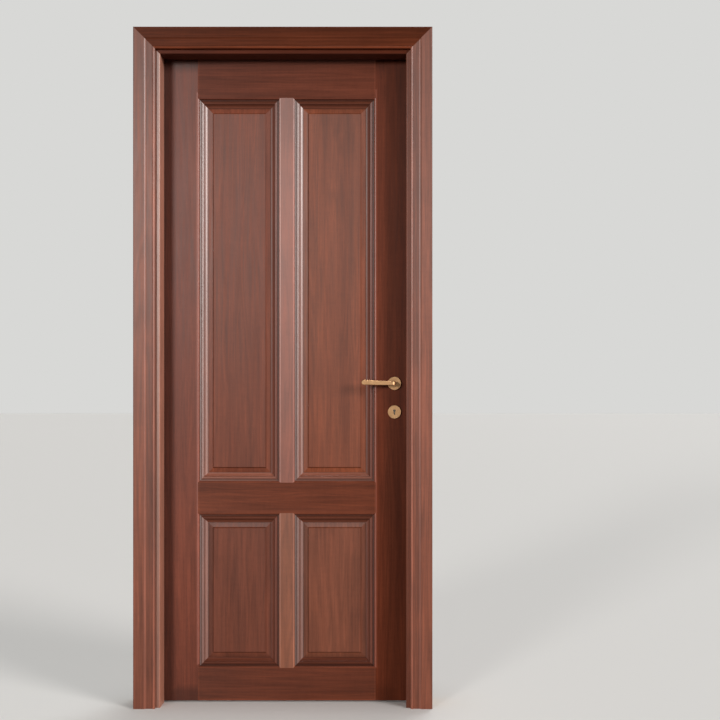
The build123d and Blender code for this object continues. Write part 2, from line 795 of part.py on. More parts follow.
def make_leaf():
    """Stiles, rails, mullions, tenons, panels and mouldings, and the leaf's half of each hinge."""
    blank = leaf_blank()
    hinge_outline = stile_outline(-leaf_half - past, seam_left, panels_left)
    lock_outline = stile_outline(leaf_half + past, seam_right, panels_right)
    hinge_stile = mortised(member(blank, hinge_outline))
    for z in hinge_heights.values():
        plate_inner = -leaf_half + hinge_plate_thickness
        hinge_stile -= hinge_plate(-leaf_half - past, plate_inner, z, joint_gap)
    keep("stile_hinge_side", hinge_stile)
    keep("stile_lock_side", stile_lock_cuts(mortised(member(blank, lock_outline))))
    flat_end = [(seam_left, floor_gap - past), (seam_right, floor_gap - past)]
    top_end = [(seam_left, leaf_top + past), (seam_right, leaf_top + past)]
    outlines = {
        "rail_bottom": flat_end + rail_edge(lower_bottom, -1)[::-1],
        "rail_lock": rail_edge(lower_top, 1) + rail_edge(upper_bottom, -1)[::-1],
        "rail_top": rail_edge(upper_top, 1) + top_end[::-1],
        "mullion_lower": mullion_outline(lower_bottom, lower_top),
        "mullion_upper": mullion_outline(upper_bottom, upper_top),
    }
    for name, outline in outlines.items():
        keep(name, mortised(member(blank, outline)))
    keep("leaf_tenons", tenons())
    for name, opening in openings.items():
        keep(f"panel_{name}", panel(opening))
        for side, (face_y, inward) in faces.items():
            keep(f"moulding_{name}_{side}", panel_moulding(opening, face_y, inward))
    for name, z in hinge_heights.items():
        keep(f"hinge_leaf_half_{name}", hinge_leaf_half(z))


def make_lock():
    """The mortise lock, its rosettes and escutcheons, and the lever set."""
    keep("lock_case", lock_case())
    keep("lock_forend", lock_forend())
    keep("latch_bolt", latch_bolt())
    keep("deadbolt", deadbolt())
    keep("follower", follower())
    keep("spindle", spindle())
    for side, (face_y, inward) in faces.items():
        keep(f"roses_{side}", [rosette(face_y, inward), escutcheon(face_y, inward)])
        keep(f"lever_{side}", lever(face_y, inward))


make_frame()
make_leaf()
make_lock()
for node_name, pieces in nodes.items():
    solids = [solid for piece in pieces for solid in piece.solids()]
    export_step(Compound(children=solids), f"parts/{node_name}.step")
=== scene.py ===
import math

import bpy
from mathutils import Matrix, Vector


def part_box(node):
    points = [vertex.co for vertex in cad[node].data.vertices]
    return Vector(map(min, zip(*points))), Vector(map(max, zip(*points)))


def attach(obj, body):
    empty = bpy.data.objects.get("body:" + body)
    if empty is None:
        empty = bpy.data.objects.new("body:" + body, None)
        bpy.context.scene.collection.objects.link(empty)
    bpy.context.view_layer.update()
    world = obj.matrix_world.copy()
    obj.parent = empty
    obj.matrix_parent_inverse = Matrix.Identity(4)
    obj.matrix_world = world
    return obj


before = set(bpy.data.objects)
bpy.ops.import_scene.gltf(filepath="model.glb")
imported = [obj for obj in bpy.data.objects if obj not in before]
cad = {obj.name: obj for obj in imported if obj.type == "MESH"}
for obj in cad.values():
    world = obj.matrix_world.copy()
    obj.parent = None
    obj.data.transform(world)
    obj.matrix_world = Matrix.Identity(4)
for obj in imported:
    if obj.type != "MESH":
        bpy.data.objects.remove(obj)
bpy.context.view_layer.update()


# The stand: a plain pale floor under a pale sky, seen from the push side at the height of the lock.
# The camera stands to the right of the middle and looks straight at the door, so its uprights stay upright.
def linear(hex_colour):
    """An sRGB hex colour as linear red, green, blue and alpha."""
    shares = [int(hex_colour[i : i + 2], 16) / 255 for i in (0, 2, 4)]
    return [c / 12.92 if c <= 0.04045 else ((c + 0.055) / 1.055) ** 2.4 for c in shares] + [1]


def add(tree, kind, inputs=None, **settings):
    """Adds a node to a tree. An input is given a value, or a node or one of its outputs to link to."""
    node = tree.nodes.new(kind)
    for name, value in settings.items():
        setattr(node, name, value)
    for name, value in (inputs or {}).items():
        if isinstance(value, bpy.types.Node):
            value = value.outputs[0]
        if isinstance(value, bpy.types.NodeSocket):
            tree.links.new(value, node.inputs[name])
        else:
            node.inputs[name].default_value = value
    return node


def new_material(name):
    """An empty material and its tree."""
    material = bpy.data.materials.new(name)
    material.use_nodes = True
    material.node_tree.nodes.clear()
    return material, material.node_tree


def mesh_piece(name, points, faces, material):
    """A piece at the origin, from points in metres."""
    mesh = bpy.data.meshes.new(name)
    mesh.from_pydata(points, [], faces)
    mesh.materials.append(material)
    piece = bpy.data.objects.new(name, mesh)
    bpy.context.scene.collection.objects.link(piece)
    return piece


floor_half = 40
floor_patch = 2 * floor_half / 1.5  # so the paint is only a little uneven from one end to the other
floor_start = (0.75, 0.75, 0.75)
floor_paint, tree = new_material("pale_floor_paint")
places = add(tree, "ShaderNodeTexCoord").outputs["Object"]
places = {"Vector": places, "Location": floor_start, "Scale": [1 / floor_patch] * 3}
places = add(tree, "ShaderNodeMapping", places)
patches = add(tree, "ShaderNodeTexNoise", {"Vector": places, "Scale": 1.0, "Detail": 3})
shade = {0: patches, 6: linear("DDDCD9"), 7: linear("E3E2DF")}
shade = add(tree, "ShaderNodeMix", shade, data_type="RGBA").outputs[2]
matt = {"Base Color": shade, "Roughness": 0.95, "Specular IOR Level": 0.1}
surface = add(tree, "ShaderNodeBsdfPrincipled", matt)
add(tree, "ShaderNodeOutputMaterial", {"Surface": surface})
corners = [(floor_half * x, floor_half * y, 0) for x, y in ((-1, -1), (1, -1), (1, 1), (-1, 1))]
floor = mesh_piece("floor", corners, [(0, 1, 2, 3)], floor_paint)
floor.visible_diffuse = False  # so that so wide and pale a floor doesn't light the door from below

scene = bpy.context.scene
scene.view_settings.view_transform = "Standard"
scene.world = bpy.data.worlds.new("studio")
scene.world.use_nodes = True
tree = scene.world.node_tree
tree.nodes.clear()
ray = add(tree, "ShaderNodeLightPath")
seen = add(tree, "ShaderNodeBackground", {"Color": linear("D8D8D6"), "Strength": 1.0})
cast = add(tree, "ShaderNodeBackground", {"Color": linear("DDE1E2"), "Strength": 0.05})
sky = add(tree, "ShaderNodeMixShader", {0: ray.outputs["Is Camera Ray"], 1: cast, 2: seen})
add(tree, "ShaderNodeOutputWorld", {"Surface": sky})

lamps = {  # degrees to the viewer's right, degrees up, strength, width in degrees, colour
    "left": (-26, 9, 1.75, 14, "FFFDFA"),
    "right": (52, 15, 2.4, 20, "FFFAF8"),
    "top": (0, 90, 1.1, 12, "FFFFFF"),
    "back_fill": (155, 25, 1.6, 50, "FFFFFF"),
}
for name, (from_right, from_above, strength, width, colour) in lamps.items():
    light = bpy.data.lights.new(name, "SUN")
    light.energy = strength
    light.angle = math.radians(width)
    light.color = linear(colour)[:3]
    right, up = math.radians(from_right), math.radians(from_above)
    towards = Vector((math.sin(right) * math.cos(up), -math.cos(right) * math.cos(up), math.sin(up)))
    lamp = bpy.data.objects.new(name, light)
    lamp.rotation_euler = towards.to_track_quat("Z", "Y").to_euler()
    scene.collection.objects.link(lamp)

picture_width = 720  # the photograph's, in pixels
focal_length = 1092  # in the same pixels
squarely_ahead = (397.5, 387.5)  # the pixel right in front of the camera, from the left and from the top
lens = bpy.data.cameras.new("camera")
lens.sensor_width = 36
lens.lens = lens.sensor_width * focal_length / picture_width
lens.shift_x = 0.5 - squarely_ahead[0] / picture_width
lens.shift_y = squarely_ahead[1] / picture_width - 0.5
camera = bpy.data.objects.new("camera", lens)
camera.location = (0.368, -3.587, 1.0308)
camera.rotation_euler = (math.radians(90), 0, 0)
scene.collection.objects.link(camera)
scene.camera = camera


# The lining: three rebated boards round the doorway, the stop in one piece with them, mitred at the top.
# Timber under a reddish-brown stained and lacquered veneer, left bare on the side that is hidden once fitted.
# The fibres of the veneer lie along each length, so its satin sheen spreads across the grain.
clear_half, clear_height = 0.396, 2.104
doorway = ((-clear_half, 0, -clear_height), (clear_half, 0, clear_height))  # so the floor is no edge of it
lining_low, lining_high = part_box("jamb_hinge_side")
lining_thickness = -clear_half - lining_low.x
lining_middle = (lining_low.y + lining_high.y) / 2
lining_half = (lining_high.y - lining_low.y) / 2
hair = 0.0001  # how far past a limit a face may lie and still be on it
millimetre = 0.001
# Painted shade by height: every veneer is darker near the floor and near the head of the doorway, where less
# light falls.
height_shade = [(0, 0.85), (0.6, 0.94), (1.1, 1.02), (1.75, 1.02), (2.0, 0.86), (2.3, 0.86)]  # by metres up


def inset(tree, point, box):
    """How far a point lies inside a box's outline, as seen from the front, in metres."""
    low, high = box
    apart = add(tree, "ShaderNodeSeparateXYZ", {0: point})
    reaches = []
    for axis, letter in ((0, "X"), (2, "Z")):
        middle, half = (low[axis] + high[axis]) / 2, (high[axis] - low[axis]) / 2
        off = add(tree, "ShaderNodeMath", {0: apart.outputs[letter], 1: middle}, operation="SUBTRACT")
        off = add(tree, "ShaderNodeMath", {0: off}, operation="ABSOLUTE")
        reaches.append(add(tree, "ShaderNodeMath", {0: half, 1: off}, operation="SUBTRACT"))
    return add(tree, "ShaderNodeMath", {0: reaches[0], 1: reaches[1]}, operation="MINIMUM")


def curve(tree, value, knots, unit=1.0):
    """A value read off a line through knots of (place, height), the places in a unit of so many metres.

    The node's own line stays between 0 and 1, so heights go in halved and come out doubled: 2 is the most.
    """
    first, last = knots[0][0], knots[-1][0]
    share = {"Value": value, "From Min": first * unit, "From Max": last * unit}
    share = add(tree, "ShaderNodeMapRange", share)
    node = add(tree, "ShaderNodeFloatCurve", {"Value": share})
    line = node.mapping.curves[0]
    for place, height in knots[1:-1]:
        line.points.new((place - first) / (last - first), height / 2)
    line.points[0].location = (0, knots[0][1] / 2)
    line.points[-1].location = (1, knots[-1][1] / 2)
    for point in line.points:
        point.handle_type = "VECTOR"
    node.mapping.update()
    return add(tree, "ShaderNodeMath", {0: node, 1: 2.0}, operation="MULTIPLY")


def veneer(name, along, colours, start, sheen=0.3, lively=1.0, box=None, painted_shades=None, coat=0.0, fitted=False):
    """Stained veneer under satin lacquer, its grain along x or z, cut from a place of its own on the log.

    The painted shades are painted shade and painted highlights, as (millimetres inside the box, tone): darker
    in hollows and where the lining shades a piece, paler on edges and faces that catch the light.
    The coat is more lacquer, all over or in the same way. A fitted piece is bare timber where it is hidden.
    """
    material, tree = new_material(name)
    point = add(tree, "ShaderNodeTexCoord").outputs["Object"]
    place = add(tree, "ShaderNodeSeparateXYZ", {0: point}).outputs

    def grain(width, length, detail=2, wander=0.0):
        """Noise in streaks of this width and length in millimetres."""
        scale = [1000 / width] * 3
        scale["xyz".index(along)] = 1000 / length
        placed = add(tree, "ShaderNodeMapping", {"Vector": point, "Location": start, "Scale": scale})
        noise = {"Vector": placed, "Scale": 1.0, "Detail": detail, "Distortion": wander}
        return add(tree, "ShaderNodeTexNoise", noise)

    # The figure of the wood. Its pores are 0.2 to 0.3 mm wide, and are drawn at 1.6 mm so that they show.
    streaks = {  # noise, its low and high, and the darkest and palest tone that they give
        "bands": (grain(70, 1100, 2, 1.2), 0.3, 0.7, 1 - 0.16 * lively, 1 + 0.16 * lively),
        "clouds": (grain(90, 170, 3), 0.3, 0.7, 1 - 0.07 * lively, 1 + 0.07 * lively),
        "fibres": (grain(6, 220, 4, 0.6), 0.3, 0.7, 1 - 0.14 * lively, 1 + 0.14 * lively),
        "ripple": (grain(40, 9), 0.35, 0.65, 0.975, 1.025),
        "pores": (grain(1.6, 30), 0.3, 0.46, 0.84, 1.0),
    }
    winding = 60.0  # radians from the noise's lowest to its highest, so about ten rings
    rings = add(tree, "ShaderNodeMath", {0: grain(55, 900, 2, 0.4), 1: winding}, operation="MULTIPLY")
    rings = add(tree, "ShaderNodeMath", {0: rings}, operation="SINE")
    streaks["rings"] = (rings, -1.0, 1.0, 1 - 0.07 * lively, 1 + 0.07 * lively)
    tones = {}
    for mark, (noise, low, high, darkest, palest) in streaks.items():
        spread = {"Value": noise, "From Min": low, "From Max": high, "To Min": darkest, "To Max": palest}
        tones[mark] = add(tree, "ShaderNodeMapRange", spread)

    # The colour: the veneer's own warmer and cooler parts, times every tone, with the painted shade by height
    # and the painted shades.
    factors = list(tones.values())
    if painted_shades:
        factors.append(curve(tree, inset(tree, point, box), painted_shades, millimetre))
    tone = curve(tree, place["Z"], height_shade)
    for factor in factors:
        tone = add(tree, "ShaderNodeMath", {0: tone, 1: factor}, operation="MULTIPLY")
    wood = {0: grain(35, 500, 3), 6: linear(colours[0]), 7: linear(colours[1])}
    wood = add(tree, "ShaderNodeMix", wood, data_type="RGBA").outputs[2]
    colour = add(tree, "ShaderNodeVectorMath", {0: wood, "Scale": tone}, operation="SCALE").outputs[0]
    if fitted:
        off = add(tree, "ShaderNodeMath", {0: place["Y"], 1: lining_middle}, operation="SUBTRACT")
        off = add(tree, "ShaderNodeMath", {0: off}, operation="ABSOLUTE")
        between = add(tree, "ShaderNodeMath", {0: off, 1: lining_half + hair}, operation="LESS_THAN")
        outside = {0: inset(tree, point, box), 1: hair - lining_thickness}
        outside = add(tree, "ShaderNodeMath", outside, operation="LESS_THAN")
        hidden = add(tree, "ShaderNodeMath", {0: between, 1: outside}, operation="MULTIPLY")
        bare = {0: grain(9, 400, 3, 0.5), 6: linear("BE9468"), 7: linear("D2AE84")}
        bare = add(tree, "ShaderNodeMix", bare, data_type="RGBA").outputs[2]
        colour = add(tree, "ShaderNodeMix", {0: hidden, 6: colour, 7: bare}, data_type="RGBA").outputs[2]

    # The lacquer: satin, a little duller on pale fibres, sunk into the pores and drawn out across the grain.
    rough = {"Value": tones["fibres"], "From Min": 0.9, "From Max": 1.1, "To Min": 0.41, "To Max": 0.47}
    rough = add(tree, "ShaderNodeMapRange", rough)
    relief = add(tree, "ShaderNodeBump", {"Height": tones["pores"], "Strength": 0.15, "Distance": 0.0002})
    fibre = [float(axis == along) for axis in "xyz"]
    turned = {"vector_type": "VECTOR", "convert_from": "OBJECT", "convert_to": "WORLD"}
    fibre = add(tree, "ShaderNodeVectorTransform", {"Vector": fibre}, **turned)
    across = {0: add(tree, "ShaderNodeNewGeometry").outputs["Normal"], 1: fibre}
    across = add(tree, "ShaderNodeVectorMath", across, operation="CROSS_PRODUCT")
    if isinstance(coat, list):
        coat = curve(tree, inset(tree, point, box), coat, millimetre)
    lacquer = {
        "Base Color": colour,
        "Roughness": rough,
        "Normal": relief,
        "Tangent": across,
        "Anisotropic": 0.65,
        "IOR": 1.5,
        "Specular IOR Level": sheen,
        "Coat Weight": coat,
        "Coat Roughness": 0.36,
    }
    surface = add(tree, "ShaderNodeBsdfPrincipled", lacquer)
    add(tree, "ShaderNodeOutputMaterial", {"Surface": surface})
    return material


def dress(material, *names):
    """Puts a material on these CAD nodes."""
    for name in names:
        mesh = cad[name].data
        mesh.materials.clear()
        mesh.materials.append(material)


# The lining shows an edge of 14 mm inside the casings. Its hinge side is a paler copy, painted paler again on
# its face towards the doorway as painted light; the head is a darker copy as painted shade, its front edge
# painted paler as a highlight.
hinge_shades = [(-14, 0.85), (-3, 0.85), (-1, 1.6), (60, 1.6)]
head_shades = [(-14, 1.9), (-9, 1.4), (-2, 1.1), (0, 1.0), (60, 1.0)]
hinge_lining = veneer(
    "veneer_hinge_lining", "z", ("8F5944", "9B6650"), (3, 1, 7),
    sheen=1.0, lively=0.8, box=doorway, painted_shades=hinge_shades, coat=0.4, fitted=True,
)
lock_lining = veneer(
    "veneer_lock_lining", "z", ("7A3E28", "8A4C36"), (4, 6, 7),
    sheen=0.35, box=doorway, fitted=True,
)
head_lining = veneer(
    "veneer_head_lining", "x", ("4A1F0E", "56281A"), (9, 4, 2),
    sheen=0.15, box=doorway, painted_shades=head_shades, fitted=True,
)
dress(hinge_lining, "jamb_hinge_side")
dress(lock_lining, "jamb_lock_side")
dress(head_lining, "head_jamb")


# The casings: moulded lengths with a bead along the inner edge and a cove further out, mitred at the corners.
# Timber under the same veneer, each with a tongue on its back, glued into the groove of the lining's edge.
# On the uprights the bead and the far side of the cove are painted pale as highlights, with more lacquer, and
# the flat between is painted dark as shade. The head is a darker copy as painted shade, its bead painted
# paler as a highlight.
outer_shades = [(-84, 1.0), (-50, 1.0), (-48, 1.2), (-44, 1.3)]
upright_shades = [(-41, 0.74), (-25, 0.84), (-23, 0.72), (-20, 1.35), (-17, 1.35), (-14, 1.1)]
across_shades = [(-41, 1.0), (-25, 1.15), (-23, 1.0), (-20, 1.4), (-18, 2.0), (-14, 2.0)]
casing_coat = [(-84, 0), (-50, 0), (-48, 0.6), (-44, 0.6), (-42, 0), (-23, 0), (-20, 0.6), (-14, 0.6)]
casing_upright = veneer(
    "veneer_casing_upright", "z", ("79402B", "884D38"), (5, 8, 1),
    sheen=0.45, lively=1.4, box=doorway, painted_shades=outer_shades + upright_shades, coat=casing_coat, fitted=True,
)
casing_across = veneer(
    "veneer_casing_across", "x", ("552714", "62301D"), (2, 6, 4),
    sheen=0.12, lively=1.2, box=doorway, painted_shades=outer_shades + across_shades, fitted=True,
)
for face_side in ("front", "back"):
    dress(casing_upright, f"casing_{face_side}_left", f"casing_{face_side}_right")
    dress(casing_across, f"casing_{face_side}_head")


# The seal: one strip of soft brown rubber in the groove of the stop, mitred at its corners.
# Extruded, so it is dull, with dust on it in clouds 5 to 6 mm across.
rubber, tree = new_material("extruded_rubber")
places = add(tree, "ShaderNodeTexCoord").outputs["Object"]
dust = add(tree, "ShaderNodeTexNoise", {"Vector": places, "Scale": 180, "Detail": 4})
brown = {0: dust, 6: linear("2A1C16"), 7: linear("4A3C34")}
brown = add(tree, "ShaderNodeMix", brown, data_type="RGBA").outputs[2]
surface = add(tree, "ShaderNodeBsdfPrincipled", {"Base Color": brown, "Roughness": 0.75})
add(tree, "ShaderNodeOutputMaterial", {"Surface": surface})
dress(rubber, "frame_seal")


# The leaf's frame: two stiles, three rails and two mullions, each solid timber under its own sheet of veneer.
# The rounded edges beside the panels are painted pale as highlights, with more lacquer on the stiles and
# mullions, and the leaf's rim is painted dark as the lining's shadow, darkest on the hinge side and widest on
# the lock side. The mullions, from paler sheets, have the most sheen.
leaf_low, leaf_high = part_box("stile_hinge_side")[0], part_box("stile_lock_side")[1]
hinge_stile_edge = (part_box("stile_hinge_side")[1].x - leaf_low.x) / millimetre
lock_stile_edge = (leaf_high.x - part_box("stile_lock_side")[0].x) / millimetre
stile_shading = {  # from the leaf's edge in mm: the stile's inner edge and the rim's end; then the rim's tone
    "stile_hinge_side": (hinge_stile_edge, 56, 0.54),
    "stile_lock_side": (lock_stile_edge, 78, 0.7),
}
rail_shades = [(0, 0.95), (1, 1.25), (4, 1.25), (6, 1.0), (40, 1.0)]
mullion_shades = [(0, 1.0), (1, 1.4), (4, 1.4), (7, 1.0), (26, 1.0)]
mullion_coat = [(0, 1), (4, 1), (7, 0), (26, 0)]
leaf_frame = {  # the way the grain runs, colours, sheen
    "stile_hinge_side": ("z", ("67301F", "733B29"), 0.32),
    "stile_lock_side": ("z", ("652C18", "703723"), 0.08),
    "rail_bottom": ("x", ("5D2B18", "693421"), 0.25),
    "rail_lock": ("x", ("5F2D1A", "6B3623"), 0.25),
    "rail_top": ("x", ("643120", "703A29"), 0.25),
    "mullion_lower": ("z", ("83492F", "90553B"), 0.6),
    "mullion_upper": ("z", ("7D4230", "8A4F3C"), 0.65),
}
for number, (name, (along, colours, sheen)) in enumerate(leaf_frame.items()):
    start = (1 + 3 * number, 3, 5 + 2 * number)  # on the log, so that no two sheets are alike
    box, painted_shades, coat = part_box(name), rail_shades, 0.0
    if name.startswith("mullion"):
        past_ends = Vector((0, 0, 0.1))  # so that only the long edges are worn
        box = (box[0] - past_ends, box[1] + past_ends)
        painted_shades, coat = mullion_shades, mullion_coat
    if name in stile_shading:
        edge, rim_end, rim_shadow_tone = stile_shading[name]
        box = (leaf_low, leaf_high)
        # Painted shadow along the leaf's rim, then a painted highlight and more lacquer on the stile's
        # rounded inner edge.
        painted_shades = [(0, rim_shadow_tone), (32, rim_shadow_tone + 0.02), (rim_end, 1.0)]
        painted_shades += [(edge - 13, 1.0), (edge - 9, 1.2), (edge - 5, 1.8), (edge, 1.8)]
        coat = [(0, 0), (edge - 10, 0), (edge - 5, 1), (edge, 1)]
    dress(veneer(f"veneer_{name}", along, colours, start, sheen, 1.0, box, painted_shades, coat), name)


# The loose tenons: flat lengths of pale beech that join the leaf's frame, out of sight.
# Each is glued into a mortise in either piece, and is left bare.
dress(veneer("beech", "x", ("B98F66", "C9A27B"), (6, 6, 1)), "leaf_tenons")


# The panels: boards raised and fielded on both faces, free to move in the grooves behind their mouldings.
# Timber under crown-cut veneer, each panel from its own sheet, painted darker beside the moulding as shade,
# its bevels painted paler as highlights on the upper panels and darker on the lower ones.
panel_colours = {
    "upper_left": ("6C331F", "77402C"),
    "upper_right": ("733820", "7F452D"),
    "lower_left": ("6A3624", "733F2E"),
    "lower_right": ("713B27", "7C4834"),
}
panel_shades = {
    "upper": [(26, 0.8), (29, 1.05), (38, 1.15), (42, 1.08), (44, 0.95), (47, 0.98), (60, 1.0)],
    "lower": [(26, 0.7), (29, 0.75), (38, 0.9), (42, 0.92), (44, 0.9), (47, 0.98), (60, 1.0)],
}
for number, (place, colours) in enumerate(panel_colours.items()):
    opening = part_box(f"moulding_{place}_front")
    painted_shades = panel_shades[place.split("_")[0]]
    sheet = veneer(f"veneer_panel_{place}", "z", colours, (8, 5 + number, 6), 0.3, 1.1, opening, painted_shades)
    dress(sheet, f"panel_{place}")


# The panel mouldings: a quirk, a bead and a cove, mitred into one frame for each panel on each face.
# Veneered timber, pinned and glued to stiles and rails, each length from a strip of its own. The lengths are
# lit and shaded copies in paint: the one at the hinge side paler with the most sheen and lacquer, the lock
# side and top darker, the bottom paler, and darker again under the lower panels. The quirk and the panel's
# edge are painted dark as shade, the bead and cove paler as highlights.
moulding_shades = [(0, 0.85), (4, 0.6), (7, 1.05), (13, 1.2), (15, 1.0), (17, 1.3), (24, 1.4), (27, 0.85)]
strips = {  # the way the grain runs, colours, sheen, coat
    "hinge_side": ("z", ("6A3A2A", "764635"), 1.0, 1.0),
    "lock_side": ("z", ("5F2E1F", "6B3826"), 0.45, 0.0),
    "top": ("x", ("542919", "603222"), 0.25, 0.0),
    "bottom": ("x", ("713E2C", "7D4937"), 0.5, 0.5),
}
shaded_lower_bottom = ("x", ("4C2315", "572B1C"), 0.2, 0.0)  # under the lower panels
for number, place in enumerate(panel_colours):
    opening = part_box(f"moulding_{place}_front")
    middle, half = (opening[0] + opening[1]) / 2, (opening[1] - opening[0]) / 2
    own_strips = strips | {"bottom": shaded_lower_bottom} if place.startswith("lower") else strips
    lengths = []
    for side, (along, colours, sheen, coat) in own_strips.items():
        finish = {"sheen": sheen, "lively": 0.8, "painted_shades": moulding_shades, "coat": coat}
        name = f"veneer_{place}_{side}"
        lengths.append(veneer(name, along, colours, (2, 7, 3 + number), box=opening, **finish))
    for face_side in ("front", "back"):
        mesh = cad[f"moulding_{place}_{face_side}"].data
        mesh.materials.clear()
        for length in lengths:
            mesh.materials.append(length)
        for face in mesh.polygons:
            off = face.center - middle
            is_across = half.z - abs(off.z) < half.x - abs(off.x)
            face.material_index = 2 + int(off.z < 0) if is_across else int(off.x > 0)


# The levers and roses: cast and turned brass, brushed by hand and lacquered, with a warm satin sheen.
# The brushing leaves fine lines along the grip, and the brass has dulled a little in clouds 17 mm across.
def brass(name, colour, dull, roughness, line_width):
    """Brass with brushing lines of this width in millimetres, coarser than real ones so that they show."""
    material, tree = new_material(name)
    places = add(tree, "ShaderNodeTexCoord").outputs["Object"]
    line_length = 12.5  # millimetres too
    stretch = (1000 / line_length, 1000 / line_width, 1000 / line_width)
    placed = add(tree, "ShaderNodeMapping", {"Vector": places, "Scale": stretch})
    lines = add(tree, "ShaderNodeTexNoise", {"Vector": placed, "Scale": 1.0, "Detail": 2})
    clouds = add(tree, "ShaderNodeTexNoise", {"Vector": places, "Scale": 60, "Detail": 3})
    shade = {0: clouds, 6: linear(dull), 7: linear(colour)}
    shade = add(tree, "ShaderNodeMix", shade, data_type="RGBA").outputs[2]
    rough = {"Value": lines, "To Min": roughness - 0.06, "To Max": roughness + 0.06}
    rough = add(tree, "ShaderNodeMapRange", rough)
    relief = add(tree, "ShaderNodeBump", {"Height": lines, "Strength": 0.05, "Distance": 0.0001})
    metal = {"Base Color": shade, "Metallic": 1.0, "Roughness": rough, "Normal": relief}
    surface = add(tree, "ShaderNodeBsdfPrincipled", metal)
    add(tree, "ShaderNodeOutputMaterial", {"Surface": surface})
    return material


satin_brass = brass("satin_brass", "C9A077", "A9805A", 0.4, 0.4)
dress(satin_brass, "lever_front", "lever_back", "roses_front", "roses_back")


# The hinges, the forend and the strike plate: brass plates let in flush, polished to a bright yellow shine.
# Oval-headed brass screws with a cross recess hold them: four in a zigzag on a hinge, two on a lock plate.
polished_brass = brass("polished_brass", "E0B871", "C99F58", 0.2, 0.6)
for height in ("bottom", "middle", "top"):
    dress(polished_brass, f"hinge_frame_half_{height}", f"hinge_leaf_half_{height}")
dress(polished_brass, "strike_plate", "lock_forend")


